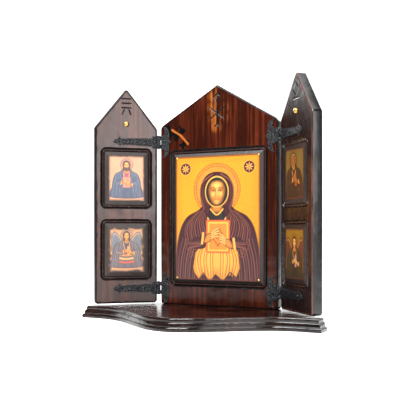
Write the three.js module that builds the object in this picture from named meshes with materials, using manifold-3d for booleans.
// A wooden triptych altarpiece on a moulded shelf: a gabled centre board and two gabled wings on iron strap hinges.
// Millimetres, +Z up. The front faces -Y, and the origin is under the middle of the shelf.
import * as THREE from "three";
import { mergeVertices } from "three/addons/utils/BufferGeometryUtils.js";
import Module from "manifold-3d";

const wasm = await Module();
wasm.setup();

// Driving dimensions

const SEAT_GAP = 0.25; // between a piece and the face that it is fastened to

const CENTRE_WIDTH = 251;
const CENTRE_SHOULDER = 353; // height of the corners under the gable
const CENTRE_PEAK = 427; // where the two slopes would meet, above the worn apex
const CENTRE_SHOULDER_RADIUS = 12;
const WING_MEETING_GAP = 1.5; // between the two wings when they are closed
const WING_LIFT = 2.2; // under each wing, clear of the shelf
const WING_SHOULDER = 346.5;
const WING_PEAK = 425;
const WING_SHOULDER_RADIUS = 9;
const BOARD_THICKNESS = 20;
const BOARD_EDGE_RADIUS = 2.8; // worn arris of every board
const APEX_RADIUS = 5;
const FOOT_RADIUS = 6;

const LEFT_WING_FOLD = 43.5; // degrees forward of flat, as it stands
const RIGHT_WING_FOLD = 43.5; // degrees forward of flat, as it stands

const SHELF_SIDE_MARGIN = 107.5; // top face, beyond the centre board at each end
const SHELF_THICKNESS = 23;
const SHELF_END_REACH = 93; // top face, in front of the centre board, at the two ends
const SHELF_BOW = 103; // further reach of the serpentine front in the middle
const SHELF_STRAIGHT = 25; // of the front at each end, beside the bow
const SHELF_BACK_MARGIN = 8; // behind the centre board and beside it
const SHELF_END_DEPTH = 23; // of the two ends' top edges, from where the back slants in behind the wings
const SHELF_END_LEDGE = 6; // of the square cut between an end and the slant
const SHELF_OVERHANG = 9.5; // of the moulding's foot beyond the top face

const BEAD_WIDTH = 5.6; // carved round each icon block
const BEAD_DROP = 0.3; // of the bead's crest below the face
const GROOVE_WIDTH = 1.9; // outside the bead
const MOULDING_DEPTH = 2.4; // of the bead's two sides
const MOULDING_CORNER_RADIUS = 4; // inner
const POCKET_DEPTH = 7;
const BLOCK_CLEARANCE = 0.5; // round an icon block in its pocket
const BLOCK_PROUD = 0.5; // of the picture in front of the board
const CENTRE_PICTURE = { width: 180, height: 240, middle: 170.5, border: 6, drop: 3 };
const WING_PICTURE = { width: 70, height: 88, border: 8, drop: 2 };
const FRAME_TO_STRAP = { lower: 6.2, upper: 2.8 }; // from a wing's carved frame to the spearhead beside it
const PICTURE_SHIFT = { left: [0, 0], right: [-4, -3] }; // across and up, as each wing's pictures were set

const PIN_RADIUS = 1.9;
const PIN_CLEARANCE = 0.25; // of the pin in its knuckles
const PIN_HEAD_RADIUS = 2.9;
const PIN_HEAD_HEIGHT = 1.2;
const PIN_TO_EDGE = 1.7; // from the pin's axis to each board's edge, along the boards
const KNUCKLE_RADIUS = 4;
const KNUCKLE_GAP = 0.35;
const BARREL_HEIGHT = 25;
const LEAF_THICKNESS = 1.8;
const STRAP = { length: 90, block: 11, rootHalf: 8.2, neckHalf: 5.8, headLength: 15.5, headHalf: 10 };
const POST = { halfHeight: 31, point: 27, pointHalf: 4.5, body: 21.5, tip: 9, hornInside: 12 };
const LOWER_HINGE_HEIGHT = 32; // above the shelf
const UPPER_HINGE_DROP = 31; // below the centre board's shoulders

const HINGE_NAIL = { head: 2.4, height: 1.3, shank: 1.1, length: 12, sides: 6, domeSteps: 2 };
const ICON_NAIL = { head: 2.4, height: 1.5, shank: 0.9, length: 12, sides: 6, domeSteps: 2 };
const WING_STUD = { head: 5.5, height: 4, shank: 1.6, length: 12, sides: 12, domeSteps: 3 };
const SHANK_CLEARANCE = 0.25;
const ICON_NAIL_INSET = 2.6; // from the picture's corner
const STUD_RISE = 7.5; // above a wing's shoulders
const STRAP_NAIL_FROM_TIP = [79, 47.5, 16];
const POST_NAIL = { outer: 17, middle: 12.5, rise: 17.5 };

// Generic burnt signs, with heights above their board's shoulders.
const STROKE_WIDTH = 2.4;
const CENTRE_SIGN = { middle: 19, armX: 15, armZ: 10.5, top: 50, lozenge: 7, foot: -2, toe: 5 };
const LEFT_SIGN = { rows: [58, 49, 40], halfWidth: 8.5, footDrop: 13, footTop: 4 };
const RIGHT_SIGN = { middle: 48, halfWidth: 11, halfHeight: 12, bar: 30 };

const ROUND_SIDES = 12;
const EDGE_STEPS = 3; // facets of a worn arris
const CORNER_STEPS = 3; // facets of a rounded corner
const BEAD_STEPS = 6;
const SHELF_FRONT_STEPS = 48;

// Sizes that follow

const PIN_FORWARD = KNUCKLE_RADIUS + SEAT_GAP; // of the pin's axis in front of the boards
const PIN_X = CENTRE_WIDTH / 2 + PIN_TO_EDGE;
const KNUCKLE_PITCH = BARREL_HEIGHT / 3;
const LEAF_LIFT = LEAF_THICKNESS + SEAT_GAP; // of a leaf's front in front of its board
const WING_WIDTH = (CENTRE_WIDTH - WING_MEETING_GAP) / 2;
const WING_MIDDLE = PIN_TO_EDGE + WING_WIDTH / 2; // from the pin
const HINGE_HEIGHTS = { lower: LOWER_HINGE_HEIGHT, upper: CENTRE_SHOULDER - UPPER_HINGE_DROP };
const STUD_HEIGHT = WING_SHOULDER + STUD_RISE;
const MOULDING_WIDTH = BEAD_WIDTH + GROOVE_WIDTH;
const WING_FRAME_HALF = WING_PICTURE.height / 2 + WING_PICTURE.border + BLOCK_CLEARANCE + MOULDING_WIDTH;
const fromStrap = (gap) => STRAP.headHalf + gap + WING_FRAME_HALF; // to a wing picture's middle
const WING_PICTURE_MIDDLES = {
  lower: HINGE_HEIGHTS.lower - WING_LIFT + fromStrap(FRAME_TO_STRAP.lower),
  upper: HINGE_HEIGHTS.upper - WING_LIFT - fromStrap(FRAME_TO_STRAP.upper),
};
const SHELF_HALF_WIDTH = CENTRE_WIDTH / 2 + SHELF_SIDE_MARGIN;
const SHELF_BOW_HALF_WIDTH = SHELF_HALF_WIDTH - SHELF_STRAIGHT;
const SHELF_FORWARD = SHELF_END_REACH + SHELF_BOW + SHELF_OVERHANG; // of the centre board's face
const SHELF_BEHIND = BOARD_THICKNESS + SHELF_BACK_MARGIN;
const CENTRE_FRONT = (SHELF_FORWARD - SHELF_BEHIND) / 2; // y of the centre board's face

// Materials

const finish = (color, roughness, metalness = 0) =>
  new THREE.MeshStandardMaterial({ color, roughness, metalness });
const FINISHES = {
  shelf: finish(0x2e1a14, 0.35),
  centre: finish(0x5a2d18, 0.4),
  wing: finish(0x4a2c22, 0.4),
  picture: finish(0xc79a3c, 0.45),
  iron: finish(0x17181b, 0.5, 0.7),
  brass: finish(0xb08a3a, 0.3, 1),
};

// Solids

function toSolid(geometry) {
  const bare = geometry.clone();
  bare.deleteAttribute("normal");
  bare.deleteAttribute("uv");
  const merged = mergeVertices(bare, 1e-4);
  return new wasm.Manifold(
    new wasm.Mesh({
      numProp: 3,
      vertProperties: new Float32Array(merged.attributes.position.array),
      triVerts: new Uint32Array(merged.index.array),
    }),
  );
}

function toGeometry(solid) {
  const mesh = solid.getMesh();
  const indexed = new THREE.BufferGeometry();
  indexed.setAttribute("position", new THREE.BufferAttribute(mesh.vertProperties, mesh.numProp));
  indexed.setIndex(new THREE.BufferAttribute(mesh.triVerts, 1));
  const flat = indexed.toNonIndexed();
  flat.computeVertexNormals();
  return flat;
}

const union = (geometries) => geometries.map(toSolid).reduce((all, one) => all.add(one));
const join = (geometries) => toGeometry(union(geometries));
const cut = (geometry, cutters) => toGeometry(toSolid(geometry).subtract(union(cutters)));

// A mirror image across x 0, with its faces pointing outwards again.
const flipX = (geometry) => toGeometry(toSolid(geometry).mirror([1, 0, 0]));

// The faces that close one end of a skin, turned outwards. Its ring lies flat in z or, if it stands up, in y.
function capFaces(ring, start, alongRings, triangles) {
  const upright = ring.every((point) => point[1] === ring[0][1]);
  const outline = ring.map((point) => new THREE.Vector2(point[0], upright ? point[2] : point[1]));
  const way = Math.sign(THREE.ShapeUtils.area(outline)) * (alongRings ? 1 : -1);
  return triangles(outline).flatMap((face) => {
    const same = Math.sign(THREE.ShapeUtils.area(face.map((i) => outline[i]))) === way;
    return (same ? face : face.slice().reverse()).map((i) => start + i);
  });
}

const clippedEars = (outline) => THREE.ShapeUtils.triangulateShape(outline, []);

// Rings of equally many points, each [x, y, z], skinned into one closed solid. The rings go round anticlockwise
// about the direction in which they follow each other. An endless skin joins its last ring to its first.
function skin(rings, { endless = false, triangles = clippedEars } = {}) {
  const count = rings[0].length;
  const index = [];
  const steps = endless ? rings.length : rings.length - 1;
  for (let r = 0; r < steps; r++) {
    const low = r * count;
    const high = ((r + 1) % rings.length) * count;
    for (let i = 0; i < count; i++) {
      const j = (i + 1) % count;
      index.push(low + i, low + j, high + j, low + i, high + j, high + i);
    }
  }
  if (!endless) {
    index.push(...capFaces(rings[0], 0, false, triangles));
    index.push(...capFaces(rings.at(-1), (rings.length - 1) * count, true, triangles));
  }
  const geometry = new THREE.BufferGeometry();
  geometry.setAttribute("position", new THREE.Float32BufferAttribute(rings.flat(2), 3));
  geometry.setIndex(index);
  return geometry;
}

// A convex outline of [x, z, radius] corners, given clockwise as seen from -Y, with each corner rounded.
// The function that it returns gives the outline drawn in by a distance, always with equally many points.
function roundedOutline(corners) {
  const arcs = corners.map(([x, z, radius], i) => {
    const before = corners.at(i - 1);
    const after = corners[(i + 1) % corners.length];
    const at = new THREE.Vector2(x, z);
    const back = new THREE.Vector2(before[0], before[1]).sub(at).normalize();
    const on = new THREE.Vector2(after[0], after[1]).sub(at).normalize();
    const half = back.angleTo(on) / 2;
    const middle = back.clone().add(on).normalize().multiplyScalar(radius / Math.sin(half)).add(at);
    const from = Math.atan2(-back.x, back.y); // the incoming edge's outward normal
    return { middle, radius, from, turn: Math.PI - 2 * half };
  });
  return (drawnIn) =>
    arcs.flatMap(({ middle, radius, from, turn }) =>
      Array.from({ length: CORNER_STEPS + 1 }, (_, k) => {
        const angle = from - (turn * k) / CORNER_STEPS;
        const r = radius - drawnIn;
        return [middle.x + r * Math.cos(angle), middle.y + r * Math.sin(angle)];
      }),
    );
}

const atDepth = (outline, y) => outline.map(([x, z]) => [x, y, z]);

// Boards

// A board between y 0, its front, and its thickness, with worn edges.
function board(outline) {
  const front = Array.from({ length: EDGE_STEPS + 1 }, (_, k) => {
    const angle = (k * Math.PI) / 2 / EDGE_STEPS;
    return [BOARD_EDGE_RADIUS * (1 - Math.sin(angle)), BOARD_EDGE_RADIUS * (1 - Math.cos(angle))];
  });
  const back = front.map(([drawnIn, y]) => [drawnIn, BOARD_THICKNESS - y]).reverse();
  return skin([...front, ...back].map(([drawnIn, y]) => atDepth(outline(drawnIn), y)));
}

function gabledOutline(width, shoulder, peak, shoulderRadius) {
  return roundedOutline([
    [-width / 2, 0, FOOT_RADIUS],
    [-width / 2, shoulder, shoulderRadius],
    [0, peak, APEX_RADIUS],
    [width / 2, shoulder, shoulderRadius],
    [width / 2, 0, FOOT_RADIUS],
  ]);
}

function rectangle(width, height, middle, radius) {
  return roundedOutline([
    [-width / 2, middle - height / 2, radius],
    [-width / 2, middle + height / 2, radius],
    [width / 2, middle + height / 2, radius],
    [width / 2, middle - height / 2, radius],
  ]);
}

// What is cut away for one icon block: its pocket, and the bead and groove carved round it.
function pictureCutters(picture) {
  const width = picture.width + 2 * (picture.border + BLOCK_CLEARANCE);
  const height = picture.height + 2 * (picture.border + BLOCK_CLEARANCE);
  const pocket = new THREE.BoxGeometry(width, 2 * POCKET_DEPTH, height);
  pocket.translate(0, 0, picture.middle);

  const crest = BEAD_WIDTH / 2;
  const profile = Array.from({ length: BEAD_STEPS + 1 }, (_, k) => {
    const angle = (k * Math.PI) / BEAD_STEPS;
    const fall = (MOULDING_DEPTH - BEAD_DROP) * (1 - Math.sin(angle));
    return [crest * (1 - Math.cos(angle)), BEAD_DROP + fall];
  });
  profile.push([MOULDING_WIDTH, 0], [MOULDING_WIDTH, -MOULDING_DEPTH], [0, -MOULDING_DEPTH]);
  const outer = rectangle(
    width + 2 * MOULDING_WIDTH,
    height + 2 * MOULDING_WIDTH,
    picture.middle,
    MOULDING_CORNER_RADIUS + MOULDING_WIDTH,
  );
  const rings = profile.map(([out, y]) => atDepth(outer(MOULDING_WIDTH - out), y));
  return [pocket, skin(rings.reverse(), { endless: true })];
}

// An icon block: a thin board with a wide bevel round its flat picture.
function iconBlock(picture) {
  const halfWidth = picture.width / 2 + picture.border;
  const halfHeight = picture.height / 2 + picture.border;
  const ring = (drawnIn, y) => {
    const w = halfWidth - drawnIn;
    const h = halfHeight - drawnIn;
    const corners = [[-w, -h], [-w, h], [w, h], [w, -h]];
    return corners.map(([x, z]) => [x, y, picture.middle + z]);
  };
  return skin([
    ring(picture.border, -BLOCK_PROUD),
    ring(0, picture.drop - BLOCK_PROUD),
    ring(0, POCKET_DEPTH - SEAT_GAP),
  ]);
}

// Burnt signs

// A V-shaped stroke between two points of a face.
function stroke([x0, z0], [x1, z1]) {
  const side = STROKE_WIDTH / Math.SQRT2;
  const bar = new THREE.BoxGeometry(Math.hypot(x1 - x0, z1 - z0), side, side);
  bar.rotateX(Math.PI / 4);
  bar.rotateY(-Math.atan2(z1 - z0, x1 - x0));
  bar.translate((x0 + x1) / 2, 0, (z0 + z1) / 2);
  return bar;
}

const strokes = (lines) => lines.map(([from, to]) => stroke(from, to));

function lozenge(z, halfWidth, halfHeight) {
  const points = [[0, z + halfHeight], [halfWidth, z], [0, z - halfHeight], [-halfWidth, z]];
  return points.map((point, i) => [point, points[(i + 1) % points.length]]);
}

// A star of two arms on a staff, with a lozenge on top and a forked foot.
function centreSign() {
  const { armX, armZ, lozenge: size, toe } = CENTRE_SIGN;
  const [middle, top, foot] = [CENTRE_SIGN.middle, CENTRE_SIGN.top, CENTRE_SIGN.foot].map(
    (rise) => CENTRE_SHOULDER + rise,
  );
  return strokes([
    [[0, foot], [0, top - size]],
    [[-armX, middle - armZ], [armX, middle + armZ]],
    [[-armX, middle + armZ], [armX, middle - armZ]],
    ...lozenge(top, size, size),
    [[0, foot], [-toe, foot - toe]],
    [[0, foot], [toe, foot - toe]],
  ]);
}

// Three bars on two splayed feet.
function leftSign() {
  const { halfWidth, footDrop, footTop } = LEFT_SIGN;
  const rows = LEFT_SIGN.rows.map((rise) => WING_SHOULDER + rise);
  const lowest = rows.at(-1);
  return strokes([
    ...rows.map((z) => [[-halfWidth, z], [halfWidth, z]]),
    ...[-1, 1].map((side) => [
      [side * (halfWidth - footTop), lowest - footTop],
      [side * halfWidth, lowest - footDrop],
    ]),
  ]);
}

// A lozenge over a bar.
function rightSign() {
  const { middle, halfWidth, halfHeight, bar } = RIGHT_SIGN;
  const z = WING_SHOULDER + bar;
  return strokes([
    ...lozenge(WING_SHOULDER + middle, halfWidth, halfHeight),
    [[-halfWidth, z], [halfWidth, z]],
  ]);
}

// Nails

// A hole for a nail's shank, square to a face at y 0, as far in front of it as behind it.
function shankHole(nail, x, z) {
  const radius = nail.shank + SHANK_CLEARANCE;
  const hole = new THREE.CylinderGeometry(radius, radius, 2 * (nail.length + SHANK_CLEARANCE), nail.sides);
  hole.translate(x, 0, z);
  return hole;
}

const shankHoles = (nail, spots) => spots.map(([x, z]) => shankHole(nail, x, z));

// A domed nail. Its shank points along +Y, and the face under its head is at the lift in front of y 0.
function nailGeometry(nail, lift = 0) {
  const dome = Array.from({ length: nail.domeSteps }, (_, k) => {
    const angle = (k * Math.PI) / 2 / nail.domeSteps;
    return [nail.head * Math.cos(angle), SEAT_GAP + nail.height * Math.sin(angle)];
  });
  const profile = [
    [0, -nail.length],
    [nail.shank, -nail.length],
    [nail.shank, SEAT_GAP],
    ...dome,
    [0, SEAT_GAP + nail.height],
  ];
  const body = new THREE.LatheGeometry(profile.map(([r, y]) => new THREE.Vector2(r, y)), nail.sides);
  body.rotateX(Math.PI);
  body.translate(0, -lift, 0);
  return body;
}

// Hinges, about the pin's axis: x runs away from the pin over the board, and the board's face is at y PIN_FORWARD.

const STRAP_NAIL_SPOTS = STRAP_NAIL_FROM_TIP.map((fromTip) => [STRAP.length - fromTip, 0]);
const POST_NAIL_SPOTS = [
  [POST_NAIL.outer, -POST_NAIL.rise],
  [POST_NAIL.middle, 0],
  [POST_NAIL.outer, POST_NAIL.rise],
];

// A plate from the upper half of its outline, given from its far end to the pin.
function plate(half) {
  const lower = half.filter(([, z]) => z > 0).map(([x, z]) => [x, -z]).reverse();
  const points = [...lower, ...half].map(([x, z]) => new THREE.Vector2(x, z));
  const sheet = new THREE.ExtrudeGeometry(new THREE.Shape(points), {
    depth: LEAF_THICKNESS,
    bevelEnabled: false,
  });
  sheet.rotateX(Math.PI / 2);
  sheet.translate(0, KNUCKLE_RADIUS, 0);
  return sheet;
}

// An upright cylinder on the pin's axis, in one of the barrel's three places: -1, 0 or 1.
function onPin(radius, height, place = 0) {
  const cylinder = new THREE.CylinderGeometry(radius, radius, height, ROUND_SIDES);
  cylinder.rotateX(Math.PI / 2);
  cylinder.translate(0, 0, place * KNUCKLE_PITCH);
  return cylinder;
}

// Room in a leaf for a knuckle of the other leaf.
function knuckleNotch(place) {
  const reach = 2 * (KNUCKLE_RADIUS + KNUCKLE_GAP);
  const notch = new THREE.BoxGeometry(reach, reach, KNUCKLE_PITCH + KNUCKLE_GAP);
  notch.translate(0, 0, place * KNUCKLE_PITCH);
  return notch;
}

// A leaf with its knuckles, its bore, the notches beside its knuckles and its nail holes.
function leaf(half, places, nailSpots) {
  const knuckles = places.map((place) => onPin(KNUCKLE_RADIUS, KNUCKLE_PITCH - KNUCKLE_GAP, place));
  const others = [-1, 0, 1].filter((place) => !places.includes(place));
  return cut(join([plate(half), ...knuckles]), [
    onPin(PIN_RADIUS + PIN_CLEARANCE, 2 * BARREL_HEIGHT),
    ...others.map(knuckleNotch),
    ...shankHoles(HINGE_NAIL, nailSpots),
  ]);
}

// Half of the spearhead's outline, as shares of its length from the neck and of its half width.
const SPEARHEAD = [[0.2, 1], [0.36, 0.6], [0.6, 0.5], [0.87, 0.28], [1, 0]];

// A long tapering strap that ends in a spearhead.
function strapLeaf() {
  const blockHalf = BARREL_HEIGHT / 2 - KNUCKLE_GAP;
  const neck = STRAP.length - STRAP.headLength;
  const half = [
    [0, blockHalf],
    [STRAP.block, blockHalf],
    [STRAP.block + LEAF_THICKNESS, STRAP.rootHalf],
    [neck, STRAP.neckHalf],
    ...SPEARHEAD.map(([along, out]) => [neck + along * STRAP.headLength, out * STRAP.headHalf]),
  ];
  return leaf(half.reverse(), [0], STRAP_NAIL_SPOTS);
}

// A short leaf with a point at its side and a horn up and down that bends towards the pin.
function postLeaf() {
  const { halfHeight, point, pointHalf, body, tip, hornInside } = POST;
  const blockHalf = BARREL_HEIGHT / 2;
  const horn = POST_NAIL.rise;
  const half = new THREE.Path();
  half.moveTo(point, 0);
  half.lineTo(body, pointHalf);
  half.lineTo(body, horn);
  half.quadraticCurveTo(body, (horn + 3 * halfHeight) / 4, tip, halfHeight);
  half.quadraticCurveTo(hornInside, (horn + halfHeight) / 2, hornInside, horn);
  half.lineTo((tip + KNUCKLE_RADIUS) / 2, blockHalf);
  half.lineTo(0, blockHalf);
  const points = half.getPoints(CORNER_STEPS).map(({ x, y }) => [x, y]);
  return leaf(points, [-1, 1], POST_NAIL_SPOTS);
}

function hingePin() {
  const foot = -BARREL_HEIGHT / 2 - SEAT_GAP;
  const lower = [
    [0, foot - PIN_HEAD_HEIGHT],
    [PIN_RADIUS, foot - PIN_HEAD_HEIGHT],
    [PIN_HEAD_RADIUS, foot],
    [PIN_RADIUS, foot],
  ];
  const upper = lower.map(([r, y]) => [r, -y]).reverse();
  const profile = [...lower, ...upper].map(([r, y]) => new THREE.Vector2(r, y));
  const pin = new THREE.LatheGeometry(profile, ROUND_SIDES);
  pin.rotateX(Math.PI / 2);
  return pin;
}

// The shelf

// How far the front of the top face reaches at x, and how steeply it runs there.
function shelfFront(x) {
  const angle = (Math.PI * x) / SHELF_BOW_HALF_WIDTH;
  return {
    reach: SHELF_END_REACH + (SHELF_BOW * (1 + Math.cos(angle))) / 2,
    slope: (-SHELF_BOW * Math.PI * Math.sin(angle)) / SHELF_BOW_HALF_WIDTH / 2,
  };
}

// The top face's outline at a height, grown by a distance along the front and the two ends.
function shelfRing(grow, z) {
  const side = SHELF_HALF_WIDTH + grow;
  const ledge = SHELF_HALF_WIDTH - SHELF_END_LEDGE;
  const middle = CENTRE_WIDTH / 2 + SHELF_BACK_MARGIN;
  const back = CENTRE_FRONT + SHELF_BEHIND;
  const end = CENTRE_FRONT - SHELF_END_REACH + SHELF_END_DEPTH;
  const corner = CENTRE_FRONT - SHELF_END_REACH - grow;
  const front = Array.from({ length: SHELF_FRONT_STEPS + 1 }, (_, k) => {
    const x = SHELF_BOW_HALF_WIDTH * ((2 * k) / SHELF_FRONT_STEPS - 1);
    const { reach, slope } = shelfFront(x);
    const length = Math.hypot(1, slope);
    return [x + (grow * slope) / length, CENTRE_FRONT - reach - grow / length, z];
  });
  return [
    [middle, back, z],
    [-middle, back, z],
    [-ledge, end, z],
    [-side, end, z],
    [-side, corner, z],
    ...front,
    [side, corner, z],
    [side, end, z],
    [ledge, end, z],
  ];
}

// Rounded foot, cove between two steps, and rounded top edge, as shares of the overhang and the thickness.
const SHELF_PROFILE = [
  [0.8, 0],
  [0.98, 0.07],
  [1, 0.2],
  [0.9, 0.3],
  [0.66, 0.35],
  [0.62, 0.4],
  [0.6, 0.52],
  [0.48, 0.66],
  [0.3, 0.7],
  [0.26, 0.75],
  [0.24, 0.86],
  [0.14, 0.97],
  [0, 1],
];

// The shelf's outline in triangles that fan out from its two back corners, which are its first two points. The two
// ledges, next to them in the outline, have triangles of their own.
function shelfFans(outline) {
  const middle = Math.floor((outline.length + 1) / 2);
  const [leftLedge, leftEnd, leftCorner] = [2, 3, 4];
  const [rightCorner, rightEnd, rightLedge] = [3, 2, 1].map((k) => outline.length - k);
  const fans = [
    [0, 1, middle],
    [1, leftLedge, leftCorner],
    [leftLedge, leftEnd, leftCorner],
    [0, rightCorner, rightLedge],
    [rightCorner, rightEnd, rightLedge],
  ];
  for (let i = leftCorner; i < rightCorner; i++) fans.push([i < middle ? 1 : 0, i, i + 1]);
  return fans;
}

function shelf() {
  const rings = SHELF_PROFILE.map(([out, up]) => shelfRing(out * SHELF_OVERHANG, up * SHELF_THICKNESS));
  return skin(rings, { triangles: shelfFans });
}

// The model

function add(parent, name, geometry, material, place = [0, 0, 0]) {
  const mesh = new THREE.Mesh(geometry, material);
  mesh.name = name;
  mesh.position.set(...place);
  parent.add(mesh);
}

// One nail at each [x, z] spot of a face that lies at y.
function addNails(parent, name, nail, lift, spots, y, material) {
  spots.forEach(([x, z], i) => add(parent, `${name}_${i + 1}`, nailGeometry(nail, lift), material, [x, y, z]));
}

const triptych = new THREE.Group();
add(triptych, "shelf", shelf(), FINISHES.shelf);

// The centre board and what is on it, about the middle of its foot, with its face at y 0.
const centre = new THREE.Group();
centre.position.set(0, CENTRE_FRONT, SHELF_THICKNESS);
triptych.add(centre);

// Where a hinge's nails go through its leaf: spots about the pin, for each side and each height.
const postNailSpots = (side, height) => POST_NAIL_SPOTS.map(([x, z]) => [side * (PIN_X - x), height + z]);
const strapNailSpots = (side, height) => STRAP_NAIL_SPOTS.map(([x, z]) => [side * x, height + z]);

function addCentre() {
  const { width, height, middle } = CENTRE_PICTURE;
  const iconNailSpots = [-1, 1].flatMap((side) =>
    [-1, 1].map((end) => [
      side * (width / 2 - ICON_NAIL_INSET),
      middle + end * (height / 2 - ICON_NAIL_INSET),
    ]),
  );
  const iconHoles = shankHoles(ICON_NAIL, iconNailSpots);
  const hingeSpots = [-1, 1].flatMap((side) =>
    Object.values(HINGE_HEIGHTS).flatMap((hingeHeight) => postNailSpots(side, hingeHeight)),
  );
  const outline = gabledOutline(CENTRE_WIDTH, CENTRE_SHOULDER, CENTRE_PEAK, CENTRE_SHOULDER_RADIUS);
  const carved = cut(board(outline), [
    ...pictureCutters(CENTRE_PICTURE),
    ...centreSign(),
    ...iconHoles,
    ...shankHoles(HINGE_NAIL, hingeSpots),
  ]);
  add(centre, "centre_board", carved, FINISHES.centre);
  add(centre, "centre_icon", cut(iconBlock(CENTRE_PICTURE), iconHoles), FINISHES.picture);
  addNails(centre, "icon_nail", ICON_NAIL, BLOCK_PROUD, iconNailSpots, 0, FINISHES.brass);
}

// A wing's board with its icon blocks and its stud, about the middle of its foot, with its face at y 0.
function wingPanel(side, label, sign) {
  const panel = new THREE.Group();
  panel.position.set(side * WING_MIDDLE, PIN_FORWARD, WING_LIFT);
  const holes = Object.values(HINGE_HEIGHTS).flatMap((height) =>
    strapNailSpots(side, height).map(([x, z]) =>
      shankHole(HINGE_NAIL, x - side * WING_MIDDLE, z - WING_LIFT),
    ),
  );
  const [across, up] = PICTURE_SHIFT[label];
  const pictures = Object.entries(WING_PICTURE_MIDDLES).map(([level, middle]) => ({
    ...WING_PICTURE,
    level,
    middle: middle + up,
  }));
  const outline = gabledOutline(WING_WIDTH, WING_SHOULDER, WING_PEAK, WING_SHOULDER_RADIUS);
  const carved = cut(board(outline), [
    ...pictures.flatMap(pictureCutters).map((cutter) => cutter.translate(across, 0, 0)),
    ...sign,
    ...holes,
    shankHole(WING_STUD, 0, STUD_HEIGHT),
  ]);
  add(panel, `${label}_wing_board`, carved, FINISHES.wing);
  for (const picture of pictures) {
    const block = iconBlock(picture).translate(across, 0, 0);
    add(panel, `${label}_${picture.level}_icon`, block, FINISHES.picture);
  }
  add(panel, `${label}_stud`, nailGeometry(WING_STUD), FINISHES.brass, [0, 0, STUD_HEIGHT]);
  return panel;
}

// A hinge: its strap and the strap's nails go on the wing, and the rest on the centre board.
function addHinge(side, name, height, wing) {
  const strap = side < 0 ? flipX(strapLeaf()) : strapLeaf();
  const post = side < 0 ? postLeaf() : flipX(postLeaf());
  const onCentre = [side * PIN_X, -PIN_FORWARD, height];
  add(wing, `${name}_strap`, strap, FINISHES.iron, [0, 0, height]);
  add(centre, `${name}_post`, post, FINISHES.iron, onCentre);
  add(centre, `${name}_pin`, hingePin(), FINISHES.iron, onCentre);
  const onStrap = strapNailSpots(side, height);
  const onPost = postNailSpots(side, height);
  addNails(wing, `${name}_strap_nail`, HINGE_NAIL, LEAF_LIFT, onStrap, PIN_FORWARD, FINISHES.iron);
  addNails(centre, `${name}_post_nail`, HINGE_NAIL, LEAF_LIFT, onPost, 0, FINISHES.iron);
}

// A wing about its pins. Unfolded it lies flat beside the centre board, the left wing towards -X.
function addWing(side, label, fold, sign) {
  const wing = new THREE.Group();
  wing.position.set(side * PIN_X, -PIN_FORWARD, 0);
  wing.rotation.z = THREE.MathUtils.degToRad(-side * fold);
  centre.add(wing);
  wing.add(wingPanel(side, label, sign));
  for (const [level, height] of Object.entries(HINGE_HEIGHTS)) {
    addHinge(side, `${label}_${level}`, height, wing);
  }
}

addCentre();
addWing(-1, "left", LEFT_WING_FOLD, leftSign());
addWing(1, "right", RIGHT_WING_FOLD, rightSign());

export default triptych;
